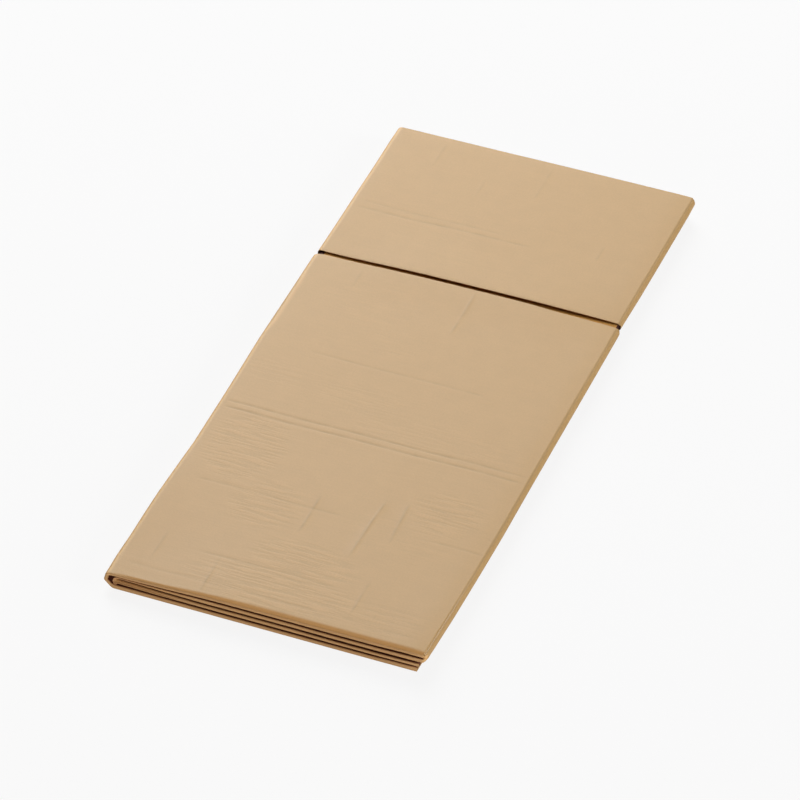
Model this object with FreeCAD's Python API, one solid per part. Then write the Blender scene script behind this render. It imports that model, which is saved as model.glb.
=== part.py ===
"""Cutlery pouch napkin: one cut sheet of airlaid paper, folded flat into a pouch.

The sheet is folded in three steps, and it stays one piece throughout:

1. Both ends of its length are folded in over the base. They meet across the front at a slit,
   the mouth of the pouch, and this gives the pouch section: base, lower flap and upper flap.
2. The wide strip that this leaves is folded in half across its width, base against base.
3. It is folded in half once more, so that four panels lie on each other.

Panel 1 is on top. Fold by fold, the strip runs from the cut edge of panel 4 at the bottom, round
the outer fold on the left, through panel 1, round the tight fold on the right, through panel 2,
round the inner fold on the left, and through panel 3 to its other cut edge.

Millimetres. X runs across the panels, the outer fold at -X. Y runs along the pouch, its closed
end at -Y. Z is up. The origin is under the middle of the napkin, on the surface it lies on.
"""
import FreeCAD, Part
import math
import os

from FreeCAD import Vector

# The cut sheet.
sheet_width = 330.0
sheet_length = 400.0
sheet_thickness = 0.5

# Where its two ends meet on the front.
pouch_depth = 140.0     # from the closed end of the pouch up to the slit
slit_width = 1.2        # between the cut edges of the two flaps

# How loosely the layers lie on each other.
pouch_gap = 0.15        # between the base and a flap, inside the pouch
panel_gap = 0.4         # between one panel and the next
fold_setback = 0.75     # from the centre of the outer fold to that of the inner fold
cut_edge_setback = 2.6  # from the fold on the right to the cut edges of panels 3 and 4

# Layers: a panel is a base and a flap, and four panels lie on each other.
flap_offset = sheet_thickness + pouch_gap
panel_height = flap_offset + sheet_thickness
stack_height = 4 * panel_height + 3 * panel_gap

# End folds, where the base turns over into a flap: round outside, pressed to a crease inside.
end_fold_radius = panel_height / 2

# The sheet's length is the base, two flaps that leave the slit open, and two end folds.
length_in_end_folds = 2 * math.pi * (end_fold_radius - sheet_thickness / 2)
straight_length = (sheet_length + slit_width - length_in_end_folds) / 2
folded_length = straight_length + 2 * end_fold_radius

# Side folds, each given by the radius of the base's inner face.
outer_fold_radius = stack_height / 2 - panel_height
tight_fold_radius = panel_gap / 2
inner_fold_radius = tight_fold_radius + panel_height

# The sheet's width is four panels and three side folds, along the middle of the base.
# In the inner fold the flap lies inside, so there the base's middle is within its inner face.
width_in_side_folds = math.pi * (
    (outer_fold_radius + sheet_thickness / 2)
    + (tight_fold_radius + sheet_thickness / 2)
    + (inner_fold_radius - sheet_thickness / 2)
)
right_fold_reach = tight_fold_radius + panel_height
left_fold_reach = outer_fold_radius + panel_height
width_outside_straights = (
    4 * left_fold_reach
    + 2 * right_fold_reach
    + 2 * fold_setback
    + 2 * cut_edge_setback
)
folded_width = (sheet_width - width_in_side_folds + width_outside_straights) / 4

# Places across the napkin: fold centres and cut edges.
outer_fold_x = -folded_width / 2 + left_fold_reach
inner_fold_x = outer_fold_x + fold_setback
tight_fold_x = folded_width / 2 - right_fold_reach
cut_edge_x = folded_width / 2 - cut_edge_setback

# Heights of the fold centres.
left_folds_z = stack_height / 2
tight_fold_z = stack_height - panel_height - panel_gap / 2


def line(start, end):
    """Straight edge between two points of the section, given as (y, height)."""
    return Part.LineSegment(Vector(0, *start), Vector(0, *end)).toShape()


def end_fold(crease_y, side):
    """Round outside of an end fold, a half circle that bulges from the crease towards side."""
    low = Vector(0, crease_y, 0)
    bulge = Vector(0, crease_y + side * end_fold_radius, end_fold_radius)
    high = Vector(0, crease_y, panel_height)
    return Part.Arc(low, bulge, high).toShape()


def pouch_section():
    """Cut through one panel: the base below, and a flap from each end over it, with the slit.

    It lies in the YZ plane, and the height 0 is the base's inner face.
    """
    closed_end = -straight_length / 2
    far_end = straight_length / 2
    lower_edge = -folded_length / 2 + pouch_depth
    upper_edge = lower_edge + slit_width
    edges = [
        line((lower_edge, flap_offset), (lower_edge, panel_height)),
        line((lower_edge, panel_height), (closed_end, panel_height)),
        end_fold(closed_end, -1),
        line((closed_end, 0), (far_end, 0)),
        end_fold(far_end, 1),
        line((far_end, panel_height), (upper_edge, panel_height)),
        line((upper_edge, panel_height), (upper_edge, flap_offset)),
        line((upper_edge, flap_offset), (far_end, flap_offset)),
        line((far_end, flap_offset), (far_end, sheet_thickness)),
        line((far_end, sheet_thickness), (closed_end, sheet_thickness)),
        line((closed_end, sheet_thickness), (closed_end, flap_offset)),
        line((closed_end, flap_offset), (lower_edge, flap_offset)),
    ]
    return Part.Face(Part.Wire(edges))


def placed_section(x, base_z, flap_up):
    """Section at x, with the base's inner face at base_z and the flap above or below it."""
    section = pouch_section()
    if not flap_up:
        section.rotate(Vector(0, 0, 0), Vector(0, 1, 0), 180)
    section.translate(Vector(x, 0, base_z))
    return section


def panel(start_x, end_x, base_z, flap_up):
    """Flat run of the folded strip from start_x to end_x."""
    return placed_section(start_x, base_z, flap_up).extrude(Vector(end_x - start_x, 0, 0))


def side_fold(center_x, center_z, start_z, flap_up, turn):
    """Half turn of the strip about a line along Y; a positive turn goes from +Z towards +X."""
    section = placed_section(center_x, start_z, flap_up)
    return section.revolve(Vector(center_x, 0, center_z), Vector(0, 1, 0), turn)


def folded_sheet():
    """The whole napkin, as one solid that follows the sheet from cut edge to cut edge."""
    base_4_z = panel_height
    base_3_z = base_4_z + panel_gap
    base_1_z = stack_height - panel_height
    base_2_z = base_1_z - panel_gap
    runs = [
        panel(cut_edge_x, outer_fold_x, base_4_z, flap_up=False),
        side_fold(outer_fold_x, left_folds_z, base_4_z, flap_up=False, turn=180),
        panel(outer_fold_x, tight_fold_x, base_1_z, flap_up=True),
        side_fold(tight_fold_x, tight_fold_z, base_1_z, flap_up=True, turn=180),
        panel(tight_fold_x, inner_fold_x, base_2_z, flap_up=False),
        side_fold(inner_fold_x, left_folds_z, base_2_z, flap_up=False, turn=-180),
        panel(inner_fold_x, cut_edge_x, base_3_z, flap_up=True),
    ]
    return runs[0].multiFuse(runs[1:]).removeSplitter()


os.makedirs("parts", exist_ok=True)
napkin = folded_sheet().Solids[0]
napkin.exportStep("parts/folded_napkin.step")

print(f"folded: {folded_width:.2f} x {folded_length:.2f} x {stack_height:.2f} mm")
print(f"sheet: {sheet_width * sheet_length * sheet_thickness:.0f} mm3, solid: {napkin.Volume:.0f} mm3")
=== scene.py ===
# %% [markdown]
# # A cutlery pouch napkin
#
# The napkin is one cut sheet of airlaid paper. Its two ends are folded in over the front, where they meet
# at a slit, and the strip this leaves is folded across twice. Cutlery goes in through the slit.
#
# The real thing is made on a folding machine that carries a flat web past a row of ploughs. This lesson
# does the same in Blender: it draws the cut through the folded strip once, and carries that section along
# the path that the strip takes. Then come the soft moves that make it look handled, the thickness of the
# sheet, the paper, and last the floor, the light and the camera.

import math

import bmesh
import bpy
import numpy as np
from mathutils import Matrix, Vector, noise


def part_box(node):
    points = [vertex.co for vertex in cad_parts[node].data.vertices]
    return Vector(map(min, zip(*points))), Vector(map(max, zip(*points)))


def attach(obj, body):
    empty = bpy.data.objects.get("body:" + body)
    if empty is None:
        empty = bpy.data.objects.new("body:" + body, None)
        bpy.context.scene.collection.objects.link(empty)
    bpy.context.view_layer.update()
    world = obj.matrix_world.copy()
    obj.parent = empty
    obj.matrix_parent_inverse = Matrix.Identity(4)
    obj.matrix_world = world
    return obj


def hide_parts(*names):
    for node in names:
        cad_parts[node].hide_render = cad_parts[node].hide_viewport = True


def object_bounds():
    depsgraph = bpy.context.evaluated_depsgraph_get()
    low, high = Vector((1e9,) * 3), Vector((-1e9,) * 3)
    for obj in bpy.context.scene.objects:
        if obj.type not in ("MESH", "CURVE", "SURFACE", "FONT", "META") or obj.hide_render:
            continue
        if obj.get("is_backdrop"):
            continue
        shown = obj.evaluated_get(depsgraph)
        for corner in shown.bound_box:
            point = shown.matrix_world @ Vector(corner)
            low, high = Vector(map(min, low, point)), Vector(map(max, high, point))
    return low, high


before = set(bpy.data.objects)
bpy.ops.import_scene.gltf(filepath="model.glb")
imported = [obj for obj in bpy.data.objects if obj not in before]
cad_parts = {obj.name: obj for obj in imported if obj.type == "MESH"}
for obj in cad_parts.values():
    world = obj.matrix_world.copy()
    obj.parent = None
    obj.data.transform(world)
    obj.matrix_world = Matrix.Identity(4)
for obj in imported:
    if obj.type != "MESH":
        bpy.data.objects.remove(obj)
cad_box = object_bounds()
low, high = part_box("folded_napkin")
print("folded napkin, mm:", [round(1000 * side, 2) for side in high - low])

# %% [markdown]
# ## Sizes
#
# The folded size comes from the frame. The paper's own sizes are few: how thick the sheet is, how far the
# base and its flaps lie apart, and where the slit runs. Everything else follows from these, so the new
# sheet lies exactly where the solid one does.

# %% Sizes of the sheet and its folds
mm = 0.001
sheet_thickness = 0.5 * mm
sheet_length = 400 * mm
pouch_gap = 0.15 * mm
slit_width = 1.2 * mm
pouch_depth = 140 * mm
fold_setback = 0.75 * mm
cut_edge_setback = 2.6 * mm

half_width = (high.x - low.x) / 2
half_length = (high.y - low.y) / 2
stack_height = high.z - low.z
panel_height = 2 * sheet_thickness + pouch_gap
panel_gap = (stack_height - 4 * panel_height) / 3

# Heights of the sheet's middle above the base's inner face: in the base, and in the flap.
base_middle = sheet_thickness / 2
flap_middle = panel_height - sheet_thickness / 2
end_fold_radius = (flap_middle - base_middle) / 2

# Centre lines of the three side folds, seen along Y.
outer_fold = Vector((-half_width + stack_height / 2, 0, stack_height / 2))
inner_fold = outer_fold + Vector((fold_setback, 0, 0))
tight_reach = panel_height + panel_gap / 2
tight_fold = Vector((half_width - tight_reach, 0, stack_height - tight_reach))
cut_edge_x = half_width - cut_edge_setback
print("gap between panels, mm:", round(panel_gap / mm, 3))

# %% [markdown]
# ## Creases in the top panel
#
# Packing and handling press sharp little creases into the paper. The long ones run straight across the
# napkin, where the stack was bent over an edge, and the short ones run along it and stand up a little.
# The clearest is a pair of lines right across the pouch.
#
# Creases could be drawn in the material alone, but then they would vanish at a low angle. They are
# pressed into the mesh further on, so the mesh needs closer rows and columns where they run, and these
# are planned here, before anything is drawn.

# %% List the creases
# x1, y1, x2, y2 in mm from the middle of the napkin, and depth in mm. A negative depth stands up.
creases = [
    (-39, 65.0, 0, 64.9, 0.07),
    (-39, 62.0, 9, 62.7, 0.11),
    (-27, -0.8, 20, -0.9, 0.07),
    (-40, -27.5, 40, -27.2, 0.12),
    (-40, -30.0, 40, -29.8, 0.12),
    (-35, -58.8, 4, -59.0, 0.07),
    (28, -59.6, 41, -59.8, 0.07),
    (-24, -84.6, 13, -85.0, 0.09),
    (-38, -94.6, 38, -95.2, 0.05),
    (-27, 97, -27, 86, -0.06),
    (-11.5, 86, -11.5, 79, -0.06),
    (3.2, 97, 3.2, 83, -0.05),
    (27.2, 70, 27.2, 63, -0.06),
    (-27.4, 38, -27.4, 29, -0.06),
    (3.2, 38, 3.2, 20, -0.1),
    (-3.6, -54, -3.6, -68, -0.12),
    (12.0, -50, 11.2, -72, -0.14),
    (17.6, -48, 18.6, -64, -0.11),
    (-33.6, -80, -33.6, -92, -0.08),
    (-17.6, -85, -17.6, -99, -0.09),
    (19.6, -80, 19.6, -92, -0.09),
]
slit_y = -half_length + pouch_depth
slit_middle = slit_y + slit_width / 2
beside_slit = 0.85 * mm
rows_at = [(y1 + y2) / 2 * mm for x1, y1, x2, y2, depth in creases if abs(x2 - x1) > abs(y2 - y1)]
rows_at += [slit_y - beside_slit, slit_y + slit_width + beside_slit]
columns_at = [(x1 + x2) / 2 * mm for x1, y1, x2, y2, depth in creases if abs(x2 - x1) < abs(y2 - y1)]
print("creases across:", len(rows_at) - 2, "along:", len(columns_at))

# %% Plan closer rows at the creases
fine_step = 0.4 * mm
fine_steps = 2  # on each side of a crease
fine_offsets = np.arange(-fine_steps, fine_steps + 1) * fine_step
crease_reach = fine_steps * fine_step
cleared = crease_reach + fine_step / 2


def stations(start, end, step, centres=()):
    """Places from start to end, a step apart, and a fine step apart near each of the centres."""
    count = round(abs(end - start) / step)
    places = set(np.linspace(start, end, count + 1))
    first, last = sorted((start, end))
    between = [c for c in centres if first < c - crease_reach and c + crease_reach < last]
    for centre in between:
        places = {p for p in places if abs(p - centre) > cleared or p in (start, end)}
    for centre in between:
        for offset in fine_offsets:
            if all(abs(centre + offset - p) > fine_step / 2 for p in places):
                places.add(centre + offset)
    return sorted(places, reverse=end < start)


example = stations(0, 10 * mm, 2 * mm, [5 * mm])
print("10 mm with a crease in the middle, mm:", [round(float(place) / mm, 1) for place in example])

# %% [markdown]
# ## The pouch section
#
# Seen from the side, one panel is a flat loop of paper: the lower flap, the fold at the closed end, the
# base, the fold at the far end and the upper flap. The loop is open only at the slit.
#
# It could be drawn as a closed outline with the paper's thickness in it. It is drawn as a single line
# through the middle of the paper instead, because a line is easy to fold, and Solidify gives it an even
# thickness at the end. The line starts as one vertex. Straight runs are extruded, and the end folds spun.
#
# Each vertex also remembers where it lies on the flat sheet: `along` its length and `across` its width.
# The soft moves and the paper's texture both need that later.

# %% Start the sheet from one vertex
bpy.ops.object.select_all(action="DESELECT")
bpy.ops.mesh.primitive_plane_add(size=sheet_thickness, location=(0, 0, 0))
napkin = bpy.context.object
napkin.name = "airlaid_napkin"
napkin.data.name = "airlaid_napkin"
for name in ("along", "across"):
    napkin.data.attributes.new(name, "FLOAT", "POINT")

bpy.ops.object.mode_set(mode="EDIT")
bpy.ops.mesh.merge(type="CENTER")


def mark_selected(name, value):
    """Writes one distance on the flat sheet to the vertices that were made last."""
    mesh = bmesh.from_edit_mesh(napkin.data)
    layer = mesh.verts.layers.float[name]
    for vertex in mesh.verts:
        if vertex.select:
            vertex[layer] = value


print("vertices:", len(bmesh.from_edit_mesh(napkin.data).verts))

# %% Draw the line of the pouch section
panel_3_base = panel_height + panel_gap
closed_end = -half_length + panel_height / 2
far_end = half_length - panel_height / 2
upper_edge = slit_y + slit_width
flap_step = 1.4 * mm
base_step = 4 * mm
end_fold_steps = 10
behind_nose = closed_end + 0.9 * mm

bpy.ops.transform.translate(value=(cut_edge_x, slit_y, panel_3_base + flap_middle))
section = [(0.0, slit_y, flap_middle)]


def draw_straight(places):
    """Extrudes the line along Y, a vertex at each place."""
    for y in places[1:]:
        drawn, last_y, height = section[-1]
        move = {"value": (0, y - last_y, 0)}
        bpy.ops.mesh.extrude_region_move(TRANSFORM_OT_translate=move)
        section.append((drawn + abs(y - last_y), y, height))
        mark_selected("along", section[-1][0])


def draw_end_fold(y, side):
    """Spins the line half round, about an axis along X, so that it bulges to that side."""
    start, _, start_height = section[-1]
    turn = math.pi if start_height > panel_height / 2 else -math.pi
    for step in range(1, end_fold_steps + 1):
        bpy.ops.mesh.spin(
            steps=1,
            angle=side * turn / end_fold_steps,
            center=(cut_edge_x, y, panel_3_base + panel_height / 2),
            axis=(1, 0, 0),
        )
        angle = math.pi * step / end_fold_steps
        section.append((
            start + end_fold_radius * angle,
            y + side * end_fold_radius * math.sin(angle),
            panel_height / 2 + (start_height - panel_height / 2) * math.cos(angle),
        ))
        mark_selected("along", section[-1][0])


draw_straight(stations(slit_y, closed_end, flap_step, rows_at + [behind_nose]))
draw_end_fold(closed_end, -1)
base_starts = section[-1][0]
draw_straight(stations(closed_end, far_end, base_step, [slit_middle]))
base_ends = section[-1][0]
draw_end_fold(far_end, 1)
draw_straight(stations(far_end, upper_edge, flap_step, rows_at))
print("sheet length drawn, mm:", round(section[-1][0] / mm, 2), "rows:", len(section))

# %% [markdown]
# ## Folding the strip
#
# The line is now carried across the sheet, the way the strip runs: through panel 3 to the inner fold,
# back through panel 2 to the tight fold on the right, over the top as panel 1, round the loose outer fold
# on the left, and along the bottom as panel 4.
#
# Flat panels are extrusions, and folds are spins about an axis along Y. The rings are close together
# where the paper shows, and wide apart inside. The finished surface has the sheet's real length and width,
# which is the best proof that a real sheet could be folded this way.

# %% Carry the section round the folds
strip = [(0.0, 0.0)]
top_step = 1.8 * mm
bottom_step = 6 * mm
hidden_step = 12 * mm
inner_rings = 10
tight_rings = 26
outer_rings = 24
inner_radius = panel_gap / 2 + panel_height - base_middle
tight_radius = panel_gap / 2 + base_middle
outer_radius = stack_height / 2 - panel_height + base_middle


def carry_straight(places):
    """Extrudes the section along X, a ring at each place."""
    for x, next_x in zip(places, places[1:]):
        move = {"value": (next_x - x, 0, 0)}
        bpy.ops.mesh.extrude_region_move(TRANSFORM_OT_translate=move)
        carried, turned = strip[-1]
        strip.append((carried + abs(next_x - x), turned))
        mark_selected("across", strip[-1][0])


def carry_round(fold_centre, angle, rings, base_radius):
    """Spins the section through a side fold, about an axis along Y."""
    for _ in range(rings):
        bpy.ops.mesh.spin(steps=1, angle=-angle / rings, center=fold_centre, axis=(0, 1, 0))
        carried, turned = strip[-1]
        strip.append((carried + abs(angle) * base_radius / rings, turned + angle / rings))
        mark_selected("across", strip[-1][0])


bpy.ops.mesh.select_all(action="SELECT")
carry_straight(stations(cut_edge_x, inner_fold.x, hidden_step))
inner_middle = strip[-1][0] + math.pi / 2 * inner_radius
carry_round(inner_fold, math.pi, inner_rings, inner_radius)
inner_ends = strip[-1][0]
carry_straight(stations(inner_fold.x, tight_fold.x, hidden_step))
carry_round(tight_fold, -math.pi, tight_rings, tight_radius)
top_starts = strip[-1][0]
carry_straight(stations(tight_fold.x, outer_fold.x, top_step, columns_at))
top_ends = strip[-1][0]
carry_round(outer_fold, -math.pi, outer_rings, outer_radius)
carry_straight(stations(outer_fold.x, cut_edge_x, bottom_step))
print("sheet width carried, mm:", round(strip[-1][0] / mm, 2), "rings:", len(strip))

# %% Join the sheet into one surface
bpy.ops.mesh.select_all(action="SELECT")
bpy.ops.mesh.remove_doubles(threshold=0.001 * mm)
bpy.ops.mesh.normals_make_consistent(inside=False)
bpy.ops.object.mode_set(mode="OBJECT")
print("vertices:", len(napkin.data.vertices), "faces:", len(napkin.data.polygons))

# %% [markdown]
# ## Soft moves
#
# A folding machine would leave the napkin this straight, but paper springs back a little and never lies
# quite flat. By hand, proportional editing would give that: grab a few vertices, and the ones around
# them follow less and less. Here the same soft moves are made in code, because every vertex knows its
# place on the sheet, and a move can be aimed at one flap of one panel without disturbing the rest.
#
# Four helpers do the fading. `ease` goes smoothly from 0 to 1, and `ramp` does so from one place to
# another. `near` is 1 at a place and eases out to 0, and `hump` is a narrow round bump. From here on,
# distances are in millimetres, and turns are in radians.

# %% Read every vertex's place
def read_distances(name):
    """Reads one distance per vertex, in mm."""
    values = np.zeros(len(napkin.data.vertices))
    napkin.data.attributes[name].data.foreach_get("value", values)
    return values / mm


def ease(amount):
    """Goes smoothly from 0 to 1 as the amount does, and stays there."""
    amount = np.clip(amount, 0, 1)
    return amount * amount * (3 - 2 * amount)


def ramp(position, start, end):
    """0 up to the start, 1 from the end on, and smooth in between."""
    return ease((position - start) / (end - start))


def near(distance, reach):
    """1 at no distance, easing out to 0 at the reach."""
    return ease(1 - distance / reach)


def hump(position, centre, width):
    """A round bump: 1 at the centre, and about a third of that one width away."""
    return np.exp(-(((position - centre) / width) ** 2))


coordinates = np.zeros(len(napkin.data.vertices) * 3)
napkin.data.vertices.foreach_get("co", coordinates)
points = coordinates.reshape(-1, 3) / mm
x, y, z = points.T  # these follow every later move of the points
along = read_distances("along")
across = read_distances("across")
print("along the sheet, mm:", along.min().round(2), "to", along.max().round(2))

# %% Work out which part of the napkin each vertex belongs to
a_hair = 0.01  # so that the vertices right at the edge of a part count too
sheet_along, sheet_y, sheet_height = np.array(section).T / mm
strip_across, strip_turned = np.array(strip).T
turned = np.interp(across, strip_across / mm, strip_turned)
height = np.interp(along, sheet_along, sheet_height)
section_y = np.interp(along, sheet_along, sheet_y)
outward = np.stack([np.sin(turned), np.zeros_like(turned), np.cos(turned)], axis=1)

in_flap = (height - base_middle / mm) / ((flap_middle - base_middle) / mm)
lower_flap = along < base_starts / mm + a_hair
upper_flap = along > base_ends / mm + a_hair
to_slit = np.minimum(along, sheet_length / mm - along)
from_closed = y + half_length / mm
from_far = half_length / mm - y

top_panel = (across > top_starts / mm - a_hair) & (across < top_ends / mm + a_hair)
in_outer_fold = (across > top_ends / mm) & (turned > -math.pi + a_hair)
outer_turn = np.where(in_outer_fold, -turned, 0)
by_tight_fold = (across < top_starts / mm) & (across > (inner_ends + top_starts) / 2 / mm)
in_tight_fold = by_tight_fold & (turned > 0) & (turned < math.pi - a_hair)
tight_bow = np.sin(np.clip(turned, 0, math.pi))
shown_flap = top_panel & (in_flap > 1 - a_hair)
print("vertices on the top panel's flaps:", int(shown_flap.sum()), "of", len(points))

# %% [markdown]
# ## The outer fold
#
# The fold on the left is the last one made, with three other layers inside it, so it is loose. It isn't a
# half circle: it comes off the top panel nearly level, turns quickly at a shoulder, and goes down almost
# upright. A superellipse has that shape. It is a circle with a power of 2, and a box with a very large one.
#
# At the closed end, the fold was pinched less, and a small ear is left standing out.

# %% Square the shoulder of the outer fold
shoulder_power = 4.5
flattened_by = 0.44
ear_turn = 1.65
ear_width = 0.42
ear_length = 2.5
down_shoulder = np.clip(outer_turn, 0, math.pi / 2)
reach = np.sin(down_shoulder) ** shoulder_power + np.cos(down_shoulder) ** shoulder_power
reach = np.where(in_outer_fold, reach ** (-1 / shoulder_power), 1)
ear = hump(outer_turn, ear_turn, ear_width) * near(from_closed, ear_length)
points[:, 0] = outer_fold.x / mm + (x - outer_fold.x / mm) * reach
points[:, 0] += flattened_by * np.sin(outer_turn) * (1 - ear)
points[:, 2] = outer_fold.z / mm + (z - outer_fold.z / mm) * reach
print("furthest left, mm:", x.min().round(2))

# %% [markdown]
# ## Pressing the creases
#
# Now the creases from the list go in. Each is a narrow groove that wanders a little, is deeper in some
# places than in others, and runs out at its ends. A note remembers how deep each vertex was pressed,
# because the material paints the creases darker by that: partly the denser pressed paper, and partly
# painted shade in the groove.

# %% Press the creases into the flaps of the top panel
groove_width = 0.3
wander = 0.12
fades_from = -1  # beyond the crease's end
fades_to = 2
crease_press_and_shade = np.zeros_like(x)
sunk = np.zeros_like(x)
for x1, y1, x2, y2, depth in creases:
    run = np.array([x2 - x1, y2 - y1])
    length = np.hypot(*run)
    run = run / length
    down_line = (x - x1) * run[0] + (y - y1) * run[1]
    off_line = (x - x1) * -run[1] + (y - y1) * run[0]
    off_line += wander * np.sin(down_line / 5 + x1)
    strength = 0.8 + 0.4 * np.sin(0.9 * down_line + y1) * np.sin(0.37 * down_line + x1)
    runs_out = ramp(down_line, fades_from, fades_to) * ramp(length - down_line, fades_from, fades_to)
    groove = runs_out * strength * hump(off_line, 0, groove_width)
    sunk += depth * groove
    # The depth also sets the painted crease shade in the material.
    crease_press_and_shade += abs(depth) * groove
crease_press_and_shade = np.where(shown_flap, crease_press_and_shade, 0)
points[:, 2] -= np.where(shown_flap, sunk, 0)
print("deepest crease, mm:", sunk.max().round(3))

# %% [markdown]
# ## Patches of wrinkles
#
# Between the creases are patches of very fine wrinkles, where the paper was rubbed or bunched together.
# They are a fraction of a millimetre high, far too fine to model one by one, so the material draws them
# as relief, and paints their light and dark lines into the colour as painted light and shade. The mesh
# only says where: `wrinkled` is strong inside an oval patch and fades out round it.

# %% Mark the patches of wrinkles
# x, y, half width, half length in mm from the middle of the napkin, and strength.
wrinkle_patches = [
    (-28.5, -43, 10.5, 14, 0.9),
    (27.5, -49, 9, 8, 1.0),
    (-14.8, -62, 9.5, 9, 0.9),
    (2.5, -78.8, 14, 7, 1.0),
    (-1.5, -91.5, 23, 8, 0.9),
    (29, -92, 9, 6, 0.6),
    (20, -62, 12, 10, 0.35),
    (-20, 64, 18, 6, 0.35),
    (-8, 54, 12, 6, 0.25),
    (-20, 24, 14, 9, 0.35),
    (-7, 10, 7, 6, 0.4),
    (-33, -12, 8, 5, 0.4),
    (16, -23, 24, 7, 0.35),
    (-8, -14, 12, 6, 0.4),
]
smooth_paper = 0.12
wrinkled = np.full_like(x, smooth_paper)
for x1, y1, half_across, half_down, strength in wrinkle_patches:
    off_patch = ((x - x1) / half_across) ** 2 + ((y - y1) / half_down) ** 2
    wrinkled = np.maximum(wrinkled, strength * ramp(off_patch, 1.5, 0.5))
wrinkled = np.where(shown_flap, wrinkled, smooth_paper)
share = (wrinkled[shown_flap] > smooth_paper).mean()
print("share of the top panel that is wrinkled:", share.round(2))

# %% [markdown]
# ## How the stack lies
#
# Nothing is glued, so the layers lie on each other as they please. The stack swells and sinks by a tenth
# of a millimetre here and there, and a slow noise gives that. The bottom lies on the table and stays.
#
# At the closed end, the stack was folded a little out of square, and the panels fan out differently:
# evenly in the middle, more open on the right, most at the tight fold itself, and pressed together on the
# left. Each line below says which heights the layers go to, and what lies in between follows.

# %% Let the stack spring up a little
def waves(across_by, along_by, start):
    """A slow noise over the napkin, with waves of these lengths; another start, another noise."""
    return np.array([noise.noise(Vector((px / across_by, py / along_by, start))) for px, py in zip(x, y)])


level = z / (stack_height / mm)
spring = 0.12 * waves(45, 60, 3.0) + 0.04 * waves(16, 18, 7.0)
points[:, 2] += level * spring
print("springs up by, mm:", spring.min().round(3), "to", spring.max().round(3))

# %% Fan the panels out at the closed end
out_of_square = 0.0105
skew_length = 150
far_stretch = 0.2
far_length = 40
points[:, 1] -= out_of_square * x * near(from_closed, skew_length)
points[:, 1] -= far_stretch * near(from_far, far_length)

panel_levels = [0, 1.35, 2.9, 4.45, 5.8]
in_the_middle = np.interp(z, panel_levels, [0, 1.5, 2.98, 4.5, 5.8])
sheet_levels = [0, 0.25, 0.9, 1.8, 2.45, 3.35, 4.0, 4.9, 5.55, 5.8]
on_the_left = np.interp(z, sheet_levels, [0, 0.25, 1.12, 1.9, 2.25, 2.95, 3.68, 4.2, 4.6, 4.85])
on_the_right = np.interp(z, sheet_levels, [0, 0.28, 1.0, 1.9, 2.36, 3.38, 3.96, 4.85, 5.6, 5.85])
at_the_fold = np.interp(z, sheet_levels, [0, 0.3, 1.22, 2.07, 2.5, 3.5, 4.28, 5.18, 5.68, 5.92])

fan_length = 45
near_closed = near(from_closed, fan_length)
near_left_corner = ramp(x, -8, -40) * near_closed
fanned = in_the_middle + ramp(x, 6, 20) * (on_the_right - in_the_middle)
fanned += ramp(x, 27, 37) * (at_the_fold - on_the_right)
fanned = z + near_closed * (fanned - z)
points[:, 2] += fanned - z + near_left_corner * (on_the_left - fanned)
print("top at the closed end, mm:", z[from_closed < 2].max().round(2))

# %% [markdown]
# ## The sides
#
# Seen from above, the side folds aren't ruler straight: they wander by up to a millimetre, and the two
# flaps don't quite agree where they meet at the slit. Each list says how far the side moves to the right
# at some places along it. The upper and the lower flap have a list each, and the base goes from one to
# the other.

# %% Let the side folds wander
left_lower_places = [-100, -92, -84, -75, -67, -45, -22, 0, 23, 36, 41]
left_lower = [-0.02, -0.09, 0.07, 0.05, 0.11, 0.76, 0.52, 0.05, 0.07, 0.05, 0.05]
left_upper_places = [41, 54, 67, 81, 95]
left_upper = [0.23, 0.46, 0.39, 0.39, 0.24]
right_lower_places = [-99, -92, -84, -66, -49, -31, 20, 41]
right_lower = [-0.35, -0.24, 0, 0.2, 0.33, 0.24, 0.19, 0.14]
right_upper_places = [41, 48, 60, 74, 95]
right_upper = [-0.16, -0.1, 0, 0.1, 0.2]

upper_share = np.where(upper_flap, 1, np.where(lower_flap, 0, ramp(y, 25, 55)))
left_off = upper_share * np.interp(y, left_upper_places, left_upper)
left_off += (1 - upper_share) * np.interp(y, left_lower_places, left_lower)
right_off = upper_share * np.interp(y, right_upper_places, right_upper)
right_off += (1 - upper_share) * np.interp(y, right_lower_places, right_lower)
points[:, 0] += left_off * ramp(x, -8, -38) + right_off * ramp(x, 8, 38)
print("sides now at, mm:", x.min().round(2), "and", x.max().round(2))

# %% [markdown]
# ## The end folds
#
# Where the base turns over into a flap, the fold was pressed hard. So its nose is flatter than a half
# circle, and the two layers are pinched together just behind it. The same power trick as on the shoulder
# gives the flat nose.
#
# The layers also slip when they are folded: inside a bend, the inner one has less far to go, and its end
# creeps back. That shows at the tight fold and the inner fold as small steps between the layers.

# %% Press the end folds square and pinch them
squareness = 0.55
end_radius = end_fold_radius / mm
beyond = np.maximum(closed_end / mm - section_y, section_y - far_end / mm)
in_end_fold = beyond > 0
bulge = np.clip(beyond / end_radius, 0, 1)
rise = np.clip((height - panel_height / 2 / mm) / end_radius, -1, 1)
squarer = end_radius * (bulge ** squareness - bulge)
squarer_rise = end_radius * (np.sign(rise) * np.abs(rise) ** squareness - rise)
points[:, 1] += np.where(in_end_fold, np.sign(section_y) * squarer, 0)
points += outward * np.where(in_end_fold, squarer_rise, 0)[:, None]

pinch = 0.1
press_length = 7
pressed_end = near(np.minimum(from_closed, from_far), press_length)
points -= outward * ((in_flap - 0.5) * pinch * pressed_end)[:, None]
print("length over the end folds, mm:", (y.max() - y.min()).round(2))

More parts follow.
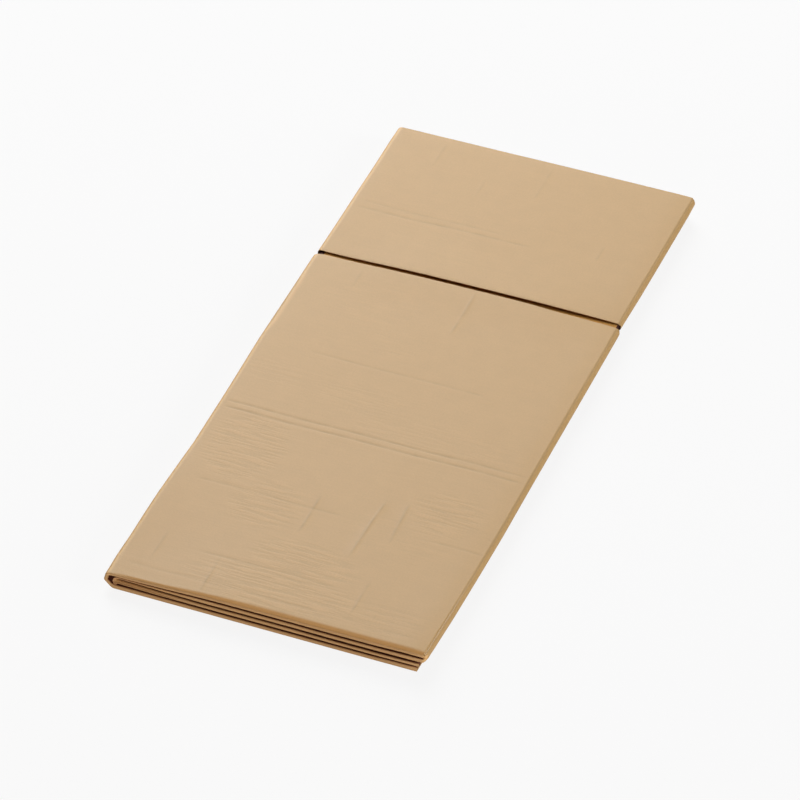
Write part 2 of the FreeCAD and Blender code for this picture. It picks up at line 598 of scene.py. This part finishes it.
# %% Find the nose of the top panel
# It was bent hardest: most of the fold's bulge, and 1.5 mm of the flap behind it, less on the left.
nose_bulge = 0.9
nose_steepness = 1.6
nose_width = 1.5 - 1.1 * ramp(x, 2, -33)
off_nose = np.where(in_end_fold, bulge / nose_bulge, (section_y - closed_end / mm) / nose_width)
on_nose = ease(nose_steepness * (1 - off_nose)) * ramp(x, -42, -34)
on_nose *= top_panel & (in_flap > 0.5) & (section_y < 0)
print("vertices on the nose:", int((on_nose > 0).sum()))

# %% Let the layers slip at their ends
slip_length = 9
tight_share = np.where(by_tight_fold, ease(tight_bow), 0)
# The first number is the base's slip, and the flap slips further by the second.
closed_slip = tight_share * (0.4 + 1.0 * in_flap)
far_slip = tight_share * (0.2 + 0.6 * in_flap)
points[:, 1] += closed_slip * near(from_closed, slip_length)
points[:, 1] -= far_slip * near(from_far, slip_length)

inner_slip = 1.1
inner_reach = 24
inner_share = near(np.abs(across - inner_middle / mm), inner_reach)
points[:, 1] += inner_slip * inner_share * in_flap * near(from_closed, slip_length)

# Panel 3 ends a little further right than panel 4.
cut_edge_slip = 0.45
cut_edge_reach = 25
points[:, 0] += cut_edge_slip * near(across, cut_edge_reach)
print("flap slips at the tight fold by up to, mm:", closed_slip.max().round(2))

# %% [markdown]
# ## The tight fold
#
# The fold on the right has nothing inside it, so it was creased sharply. Along it runs a flat bead, with a
# shallow groove between the bead and the top panel, which is the mark of the folding plough. The groove is
# part of the fold's turn: it lies where the paper has turned by about 25 degrees.

# %% Raise a bead along the tight fold
round_reach = 4
side_turn = 1.3
edge_lowered_by = 0.14
round_tight = (across < top_starts / mm + round_reach) & (across > top_starts / mm - round_reach)
round_tight &= turned < side_turn
fold_turn = np.where(round_tight, turned, 0)
to_tight = np.clip(across - top_starts / mm, 0, round_reach)
lowered = edge_lowered_by * near(to_tight, 3) * near(fold_turn, 1)

# The groove is deeper towards the closed end.
groove_turn = 0.42
groove_spread = 0.16
groove_depth = 0.06 + 0.16 * near(from_closed, 40)
grooved = groove_depth * hump(fold_turn, groove_turn, groove_spread)
points -= outward * np.where(round_tight, (lowered + grooved) * in_flap, 0)[:, None]
# The groove is also painted darker in the material: painted shade.
groove_painted_shade = 0.2 * hump(fold_turn, groove_turn + 0.02, groove_spread + 0.02)
crease_press_and_shade += np.where(round_tight, groove_painted_shade * in_flap, 0)
print("edge is lowered by up to, mm:", lowered.max().round(2))

# %% [markdown]
# ## The slit
#
# The two flaps meet here with their cut edges, and nothing holds them down, so both lips rise a little in
# the middle of the panel. Towards the sides the folds hold them. The lower lip stands back, most of all
# on the right, and in the outer fold the lips spread apart.
#
# The cut edges themselves are squeezed thin, by the knife.

# %% Lift the lips of the slit
upper_rise = 0.36
upper_held = 0.15
upper_length = 16
lower_rise = 0.3
lower_length = 14
by_slit = top_panel | in_outer_fold | in_tight_fold
mid_panel = ramp(x, -44, -10) * ramp(x, 44, 18)
lift_upper = (upper_rise * mid_panel - upper_held) * near(to_slit, upper_length)
lift_lower = lower_rise * mid_panel * near(to_slit, lower_length)
lift = np.where(upper_flap, lift_upper, np.where(lower_flap, lift_lower, 0))
points += outward * np.where(by_slit, lift * in_flap, 0)[:, None]
print("lips rise by up to, mm:", lift_upper.max().round(2), "and", lift_lower.max().round(2))

# %% Open the slit
lip_length = 7
near_slit = near(to_slit, lip_length)
# On the left, both lips run towards the closed end.
both_back = 0.35 * ramp(x, -10, -35)
points[:, 1] -= np.where(by_slit, both_back * near_slit, 0)

# The lower lip stands back all along, further on the right, and a little less round the fold there.
on_right = ramp(x, 14, 26) * (1 - 0.6 * ease(fold_turn / 1.2))
lower_back = 0.35 + 0.45 * on_right
points[:, 1] -= np.where(lower_flap & by_slit, lower_back * near_slit, 0)

upper_spread = 0.3
lower_spread = 0.7
outer_bow = np.where(in_outer_fold, np.sin(outer_turn), 0)
points[:, 1] += np.where(upper_flap, upper_spread * outer_bow * near_slit, 0)
points[:, 1] -= np.where(lower_flap, lower_spread * outer_bow * near_slit, 0)

# The base shows through at the right end of the slit, where it is drawn in a little.
base_drawn_in = 0.15
lip_drawn_back = 0.5
drawn_in = near(np.abs(y - slit_middle / mm), 5) * tight_bow
points[:, 0] -= np.where(in_tight_fold, base_drawn_in * drawn_in * (1 - in_flap), 0)
points[:, 1] -= np.where(in_tight_fold & lower_flap, lip_drawn_back * near_slit * tight_bow, 0)
slit_lips = [y[shown_flap & flap & (np.abs(x) < 2)] for flap in (upper_flap, lower_flap)]
print("slit is open by, mm:", (slit_lips[0].min() - slit_lips[1].max()).round(2))

# %% Press the cut edges thin from below
edge_width = 1.3
thinned_by = 0.72
thin_edge = thinned_by * near(to_slit, edge_width)
kept_level = 0.2  # moves the middle out, so that the outer face stays nearly level
points += outward * np.where(by_slit, kept_level * thin_edge * in_flap, 0)[:, None]
print("thinnest edge, share of the sheet:", (1 - thin_edge.max()).round(2))

# %% Put the moved points back into the mesh
for index, vertex in enumerate(napkin.data.vertices):
    vertex.co = points[index] * mm
napkin.data.update()
print("napkin, mm:", (points.max(axis=0) - points.min(axis=0)).round(2))

# %% [markdown]
# ## Notes for the material
#
# Five values per vertex tell the material what the shape alone can't. The crease depths and `wrinkled`
# are above. `inner` marks the paper that faces another layer: the machine's rollers never rubbed it
# smooth, so it is duller, and its colour is painted a little redder and fuller for light that bounces
# between the layers. So is the nose of the top panel, where bending roughened it again. Where the inner
# paper is also in the dark, painted shade makes its colour darker and redder. The shoulder of the outer
# fold gets a painted highlight, partly also the paler stretched fibres that kraft paper shows along a
# hard fold.

# %% Note where the paper is inside and where its shade is painted
# A flap is outer paper on the top, in the folds and at the bottom. The flaps of panels 2 and 3 face each
# other, and every base faces a flap. The bulge of an end fold is outside again.
shown_bulge = 0.6
in_side_fold = (turned > a_hair) & (turned < math.pi - a_hair)
outer_flap = top_panel | (across > top_ends / mm) | in_side_fold
inner = np.where(outer_flap, 1 - in_flap, 1)
inner *= np.where(in_end_fold, near(bulge, shown_bulge), 1)

# The painted shade is lifted under the slit, where light comes in onto the base, and deepened at the slit's
# ends, in the folds.
lit_by_slit = 0.92
darker_at_ends = 0.2
under_slit = ramp(np.abs(y - slit_middle / mm), 1.6, 0.6)
painted_gap_shade = inner * np.where(top_panel, 1 - lit_by_slit * under_slit, 1 + darker_at_ends * under_slit)

# The nose is duller too, and gets a little painted shade.
nose_inner = 0.8
nose_painted_shade = 0.16
inner = np.maximum(inner, nose_inner * on_nose)
painted_gap_shade = np.maximum(painted_gap_shade, nose_painted_shade * on_nose)
print("vertices inside:", int((inner > 0.5).sum()), "of", len(inner))

# %% Note where the highlight is painted, and write the notes down
# The painted highlight on the shoulder is narrow and strong, and for 30 mm below the slit it is wide and
# weak.
wide = ramp(y, 2, 10) * ramp(y, 34, 24)
line_strength = 0.48 - 0.22 * wide
line_turn = 0.66 - 0.1 * wide
line_width = 0.15 + 0.15 * wide
highlight_line = line_strength * hump(outer_turn, line_turn, line_width)
painted_highlight = np.where(in_outer_fold, highlight_line * in_flap, 0)

# The bulge of the base at both ends of the tight fold is painted lighter too.
end_highlight = 0.5
painted_highlight += np.where(in_tight_fold & in_end_fold, end_highlight * tight_bow * (1 - in_flap) * bulge, 0)

notes = {"crease_press_and_shade": crease_press_and_shade, "wrinkled": wrinkled, "inner": inner, "painted_gap_shade": painted_gap_shade, "painted_highlight": painted_highlight}
for name, values in notes.items():
    napkin.data.attributes.new(name, "FLOAT", "POINT")
    napkin.data.attributes[name].data.foreach_set("value", values)
    print(name, "goes up to", values.max().round(2))

# %% [markdown]
# ## The thickness of the sheet
#
# So far the sheet has no thickness. Solidify grows half of it to each side of the surface, and its even
# offset keeps it 0.5 mm through the bends. A vertex group makes it thinner where the sheet is pressed: at
# the end folds, at the cut edges of the slit, and in the inner fold where its corner is squashed.
#
# Last, a tiny bevel rounds the cut edges, because no edge of soft paper is perfectly sharp.

# %% Give the sheet its thickness
end_squeeze = 0.16
corner_squeeze = 0.25
fullness = (1 - end_squeeze * pressed_end) * (1 - thin_edge)
fullness *= 1 - corner_squeeze * inner_share * near_left_corner
soft = napkin.vertex_groups.new(name="fullness")
for index, amount in enumerate(fullness):
    soft.add([index], float(amount), "REPLACE")
bpy.ops.object.modifier_add(type="SOLIDIFY")
thickness = napkin.modifiers[-1]
thickness.vertex_group = soft.name
thickness.thickness = sheet_thickness
thickness.offset = 0
thickness.use_even_offset = True
bpy.ops.object.modifier_apply(modifier=thickness.name)
print("faces with thickness:", len(napkin.data.polygons))

# %% Round the cut edges
bpy.ops.object.modifier_add(type="BEVEL")
rounding = napkin.modifiers[-1]
rounding.width = 0.05 * mm
rounding.segments = 2
rounding.limit_method = "ANGLE"
rounding.angle_limit = math.radians(60)
bpy.ops.object.modifier_apply(modifier=rounding.name)
bpy.ops.object.shade_smooth_by_angle(angle=math.radians(50))
napkin.data.calc_loop_triangles()
print("triangles:", len(napkin.data.loop_triangles))

# %% [markdown]
# ## The paper
#
# The common name is airlaid kraft: unbleached brown wood fibres are blown onto a moving wire, bonded, and
# pressed between rollers. That makes a thick, soft, cloth-like paper with a matt face that still has a
# slight sheen at a low angle, because the rollers laid the outer fibres down flat.
#
# Base colour comes first: one brown, shaded by three noises of very different sizes, which are the single
# fibres, the clouds they clump into, and the wrinkles, whose light and dark lines are painted light and
# shade. Painted shade in the creases and between the layers, and a painted highlight on the outer fold,
# come on top. A picture of real paper would do as well, but it repeats and has its own light in it. The
# noises follow the flat sheet, through `along` and `across`, so they run on round every fold, as they
# would on paper that was folded after it was made.
#
# Paper is not a metal. Its index of refraction is about 1.5, and its roughness is 0.55 on the rolled face
# and nearly 0.9 where it was never rolled.

# %% Helpers for colours and nodes
def linear(hex_colour):
    """An sRGB hex colour as the linear colour that shaders use."""
    parts = [int(hex_colour[i : i + 2], 16) / 255 for i in (1, 3, 5)]
    return [c / 12.92 if c <= 0.04045 else ((c + 0.055) / 1.055) ** 2.4 for c in parts] + [1]


def add_node(material, kind, settings={}, inputs={}):
    """Adds a node; an input is a value, or the output socket of another node to link from."""
    node = material.node_tree.nodes.new(kind)
    for name, value in settings.items():
        setattr(node, name, value)
    for name, value in inputs.items():
        if isinstance(value, bpy.types.NodeSocket):
            material.node_tree.links.new(value, node.inputs[name])
        else:
            node.inputs[name].default_value = value
    return node


def add_math(material, operation, first, second=0.0):
    """Adds a maths node and gives its result."""
    values = {0: first, 1: second}
    return add_node(material, "ShaderNodeMath", {"operation": operation}, values).outputs[0]


kraft_brown = linear("#d6ad71")
print("kraft brown as shaders see it:", [round(part, 3) for part in kraft_brown[:3]])

# %% Start the paper from what the mesh knows
paper = bpy.data.materials.new("airlaid_kraft_paper")
paper.use_nodes = True
shader = paper.node_tree.nodes["Principled BSDF"]


def from_mesh(name):
    """One of the values that the mesh carries."""
    return add_node(paper, "ShaderNodeAttribute", {"attribute_name": name}).outputs["Fac"]


def times(value, factor):
    """A value of the paper, made stronger or weaker."""
    return add_math(paper, "MULTIPLY", value, factor)


def centred(value):
    """A noise of the paper, moved so that it swings about 0."""
    return add_math(paper, "SUBTRACT", value, 0.5)


lengthwise = from_mesh("along")
widthwise = from_mesh("across")
crease_shade_paint = from_mesh("crease_press_and_shade")
patches = from_mesh("wrinkled")
inside = from_mesh("inner")
gap_shade_paint = from_mesh("painted_gap_shade")
highlight_paint = from_mesh("painted_highlight")
on_sheet = add_node(paper, "ShaderNodeCombineXYZ", {}, {"X": lengthwise, "Y": widthwise}).outputs[0]
print("nodes so far:", len(paper.node_tree.nodes))

# %% Draw the fibres, the clouds and the wrinkles
fibre_width = 0.5 * mm  # a real fibre is over ten times finer: this is the clump that the eye sees
cloud_width = 5 * mm
wrinkle_spacing = 1.1 * mm
wrinkle_length = 9 * mm
slope_width = 0.06


def noise_on_sheet(place, scale):
    """A noise that lies on the flat sheet."""
    values = {"Vector": place, "Scale": scale, "Detail": 2.0, "Roughness": 0.5}
    return add_node(paper, "ShaderNodeTexNoise", {"noise_dimensions": "2D"}, values).outputs[0]


fibres = noise_on_sheet(on_sheet, 1 / fibre_width)
clouds = noise_on_sheet(on_sheet, 1 / cloud_width)

# The wrinkles' noise is stretched across the napkin. Then it is steepened at its middle value, so that the
# slopes are narrow, with level paper between them.
stretched = add_node(
    paper, "ShaderNodeCombineXYZ", {},
    {"X": times(lengthwise, 1 / wrinkle_spacing), "Y": times(widthwise, 1 / wrinkle_length)},
).outputs[0]
ripples = centred(noise_on_sheet(stretched, 1.0))
softened = add_math(paper, "ADD", add_math(paper, "ABSOLUTE", ripples), slope_width)
steps = times(add_math(paper, "DIVIDE", ripples, softened), patches)
print("wrinkles:", wrinkle_spacing / mm, "mm apart,", wrinkle_length / mm, "mm long")

# %% Shade the paper
fibre_contrast = 0.08  # on smooth paper, and twice that where it is wrinkled most
cloud_contrast = 0.05
wrinkle_light_and_shade = 0.2
crease_shade_strength = 1.1
gap_shade_strength = 0.75

grain = add_math(paper, "ADD", times(patches, fibre_contrast), fibre_contrast)
shade = times(centred(fibres), grain)
# Painted highlight on the outer fold's shoulder, partly also paler stretched fibres.
shade = add_math(paper, "ADD", shade, highlight_paint)
shade = add_math(paper, "ADD", shade, times(centred(clouds), cloud_contrast))
# Painted light and shade along the wrinkles.
shade = add_math(paper, "ADD", shade, times(times(ripples, patches), wrinkle_light_and_shade))
# Painted shade in the creases, partly also the denser pressed paper.
shade = add_math(paper, "SUBTRACT", shade, times(crease_shade_paint, crease_shade_strength))
# Painted shade between the layers.
shade = add_math(paper, "SUBTRACT", shade, times(gap_shade_paint, gap_shade_strength))
print("nodes with the shades:", len(paper.node_tree.nodes))

# %% Colour the paper
# Painted bounce light: the inner paper and the nose are painted redder and fuller, for light that bounces
# from brown to brown between two layers, and the painted shade between layers is redder still.
redder_in_gap_shade = 0.045
redder_inside = 0.007
fuller_inside = 0.2
painted_redder = add_math(paper, "ADD", times(gap_shade_paint, redder_in_gap_shade), times(inside, redder_inside))
colour = add_node(
    paper, "ShaderNodeHueSaturation", {},
    {
        "Color": kraft_brown,
        "Value": add_math(paper, "ADD", shade, 1.0),
        "Hue": add_math(paper, "SUBTRACT", 0.5, painted_redder),
        "Saturation": add_math(paper, "ADD", times(inside, fuller_inside), 1.0),
    },
).outputs[0]
paper.node_tree.links.new(colour, shader.inputs["Base Color"])
print("nodes with the colour:", len(paper.node_tree.nodes))

# %% Give the paper its relief and its sheen
wrinkle_depth = 0.022 * mm
fibre_depth = 0.01 * mm
rolled = 0.55
unrolled = 0.87

relief = add_math(paper, "ADD", times(steps, wrinkle_depth), times(fibres, fibre_depth))
bump = add_node(paper, "ShaderNodeBump", {}, {"Height": relief, "Distance": 1.0, "Strength": 1.0})
paper.node_tree.links.new(bump.outputs[0], shader.inputs["Normal"])
roughness = add_math(paper, "ADD", times(inside, unrolled - rolled), rolled)
paper.node_tree.links.new(roughness, shader.inputs["Roughness"])
shader.inputs["IOR"].default_value = 1.5
print("nodes in the paper:", len(paper.node_tree.nodes))

# %% [markdown]
# ## Putting the napkin in its frame
#
# The paper goes onto the mesh. The piece rides on the root, because nothing on a napkin moves by
# itself, and it replaces the plain solid. It is one sheet, from a flat cut of 330 by 400 mm.

# %% Dress the napkin
napkin.data.materials.clear()
napkin.data.materials.append(paper)
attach(napkin, "root")
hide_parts("folded_napkin")
print("pieces:", napkin.name)

# %% [markdown]
# ## The floor
#
# A catalogue table is a sheet of white card. It should look nearly white, and still take the napkin's
# shadow. A white surface under plain lamps comes out grey, and more light would bleach the napkin. So
# what the camera sees of the floor is mostly a glow of plain white, mixed with a little matt white for
# the shadow, while the light that bounces from it to the napkin comes from an ordinary pale grey.

# %% Lay the floor
floor_side = 6
bpy.ops.mesh.primitive_plane_add(size=floor_side)
floor = bpy.context.object
floor.name = "floor"
floor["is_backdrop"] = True
card = bpy.data.materials.new("floor_white")
card.use_nodes = True
bounced = card.node_tree.nodes["Principled BSDF"]
bounced.inputs["Base Color"].default_value = linear("#cbcbcb")
bounced.inputs["Specular IOR Level"].default_value = 0

glow_share = 0.88
shaded = add_node(card, "ShaderNodeBsdfDiffuse", {}, {"Color": linear("#f3f3f3")}).outputs[0]
glowing = add_node(card, "ShaderNodeEmission", {}, {"Strength": 1.0}).outputs[0]
seen = add_node(card, "ShaderNodeMixShader", {}, {0: glow_share, 1: shaded, 2: glowing}).outputs[0]
to_camera = add_node(card, "ShaderNodeLightPath").outputs["Is Camera Ray"]
both = add_node(card, "ShaderNodeMixShader", {}, {0: to_camera, 1: bounced.outputs[0], 2: seen})
card.node_tree.links.new(both.outputs[0], card.node_tree.nodes["Material Output"].inputs["Surface"])
floor.data.materials.append(card)
print("floor glow:", glow_share)

# %% [markdown]
# ## The light
#
# Four soft boxes stand in for a catalogue studio. A large one at the back gives most of the light, and it
# comes down towards the camera, so the paper shows its sheen and its wrinkles. A low window at the back
# on the left skims over the creases and lights the outer fold's shoulder. A box on the right keeps the
# tight fold from going dark, and a small low one in front reaches in between the panels' ends.
#
# A single sky would be easier, and very even, but even light hides relief. Here the world stays dark.

# %% Set up the lamps
world = bpy.context.scene.world or bpy.data.worlds.new("studio")
bpy.context.scene.world = world
world.use_nodes = True
world.node_tree.nodes["Background"].inputs["Strength"].default_value = 0.0


def lamp(name, place, size, watts, colour="#ffffff"):
    """A square soft box that looks at the napkin; place and size in metres."""
    bpy.ops.object.light_add(type="AREA", location=place)
    light = bpy.context.object
    light.name = name
    light.data.size = size
    light.data.energy = watts
    light.data.color = linear(colour)[:3]
    light.rotation_euler = (-Vector(place)).to_track_quat("-Z", "Y").to_euler()
    print(name, watts, "W from", round(Vector(place).length, 2), "m")


lamp("back", (-0.9, 2.0, 2.1), 1.5, 41.5)
lamp("window", (-0.62, 0.95, 0.5), 0.6, 8.7)
lamp("right", (2.35, 0.2, 0.75), 1.0, 31)
lamp("front", (0.25, -1.2, 0.12), 0.22, 6.1, "#fff0f3")

# %% [markdown]
# ## The camera
#
# The camera stands off to the right of the closed end and looks down at 38 degrees. It is 1.5 m away with a
# long lens, as for a catalogue, so the napkin's far end is hardly smaller than its near end. It leans by
# less than two degrees, and the aim is a few millimetres off the middle.

# %% Place the camera
azimuth = math.radians(19.74)
elevation = math.radians(38.36)
roll = math.radians(1.765)
distance = 1.5132
aim_right = 2.78 * mm
aim_up = 4.06 * mm
film_width = 36  # mm, as is the length of the lens
lens_length = 268.1

backward = Vector((
    math.sin(azimuth) * math.cos(elevation),
    -math.cos(azimuth) * math.cos(elevation),
    math.sin(elevation),
))
turn = (-backward).to_track_quat("-Z", "Y").to_matrix()
aim = Vector((0, 0, stack_height / 2)) - turn @ Vector((aim_right, aim_up, 0))
bpy.ops.object.camera_add(location=aim + backward * distance)
camera = bpy.context.object
camera.data.sensor_width = film_width
camera.data.lens = lens_length
camera.data.clip_start = 0.1
camera.data.clip_end = 20
camera.rotation_euler = (turn @ Matrix.Rotation(roll, 3, "Z")).to_euler()
bpy.context.scene.camera = camera
bpy.context.scene.view_settings.view_transform = "Standard"
print("camera at, m:", [round(part, 3) for part in camera.location])

# %% [markdown]
# ## The size
#
# The dressed napkin should fill the same box as the plain solid, within a fraction of a millimetre. Both
# boxes are printed side by side.

# %% Print the sizes
visual_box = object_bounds()
sizes = {"cad": [list(corner) for corner in cad_box], "visual": [list(corner) for corner in visual_box]}
for name, (lowest, highest) in sizes.items():
    print(name, "mm:", [round((b - a) / mm, 2) for a, b in zip(lowest, highest)])
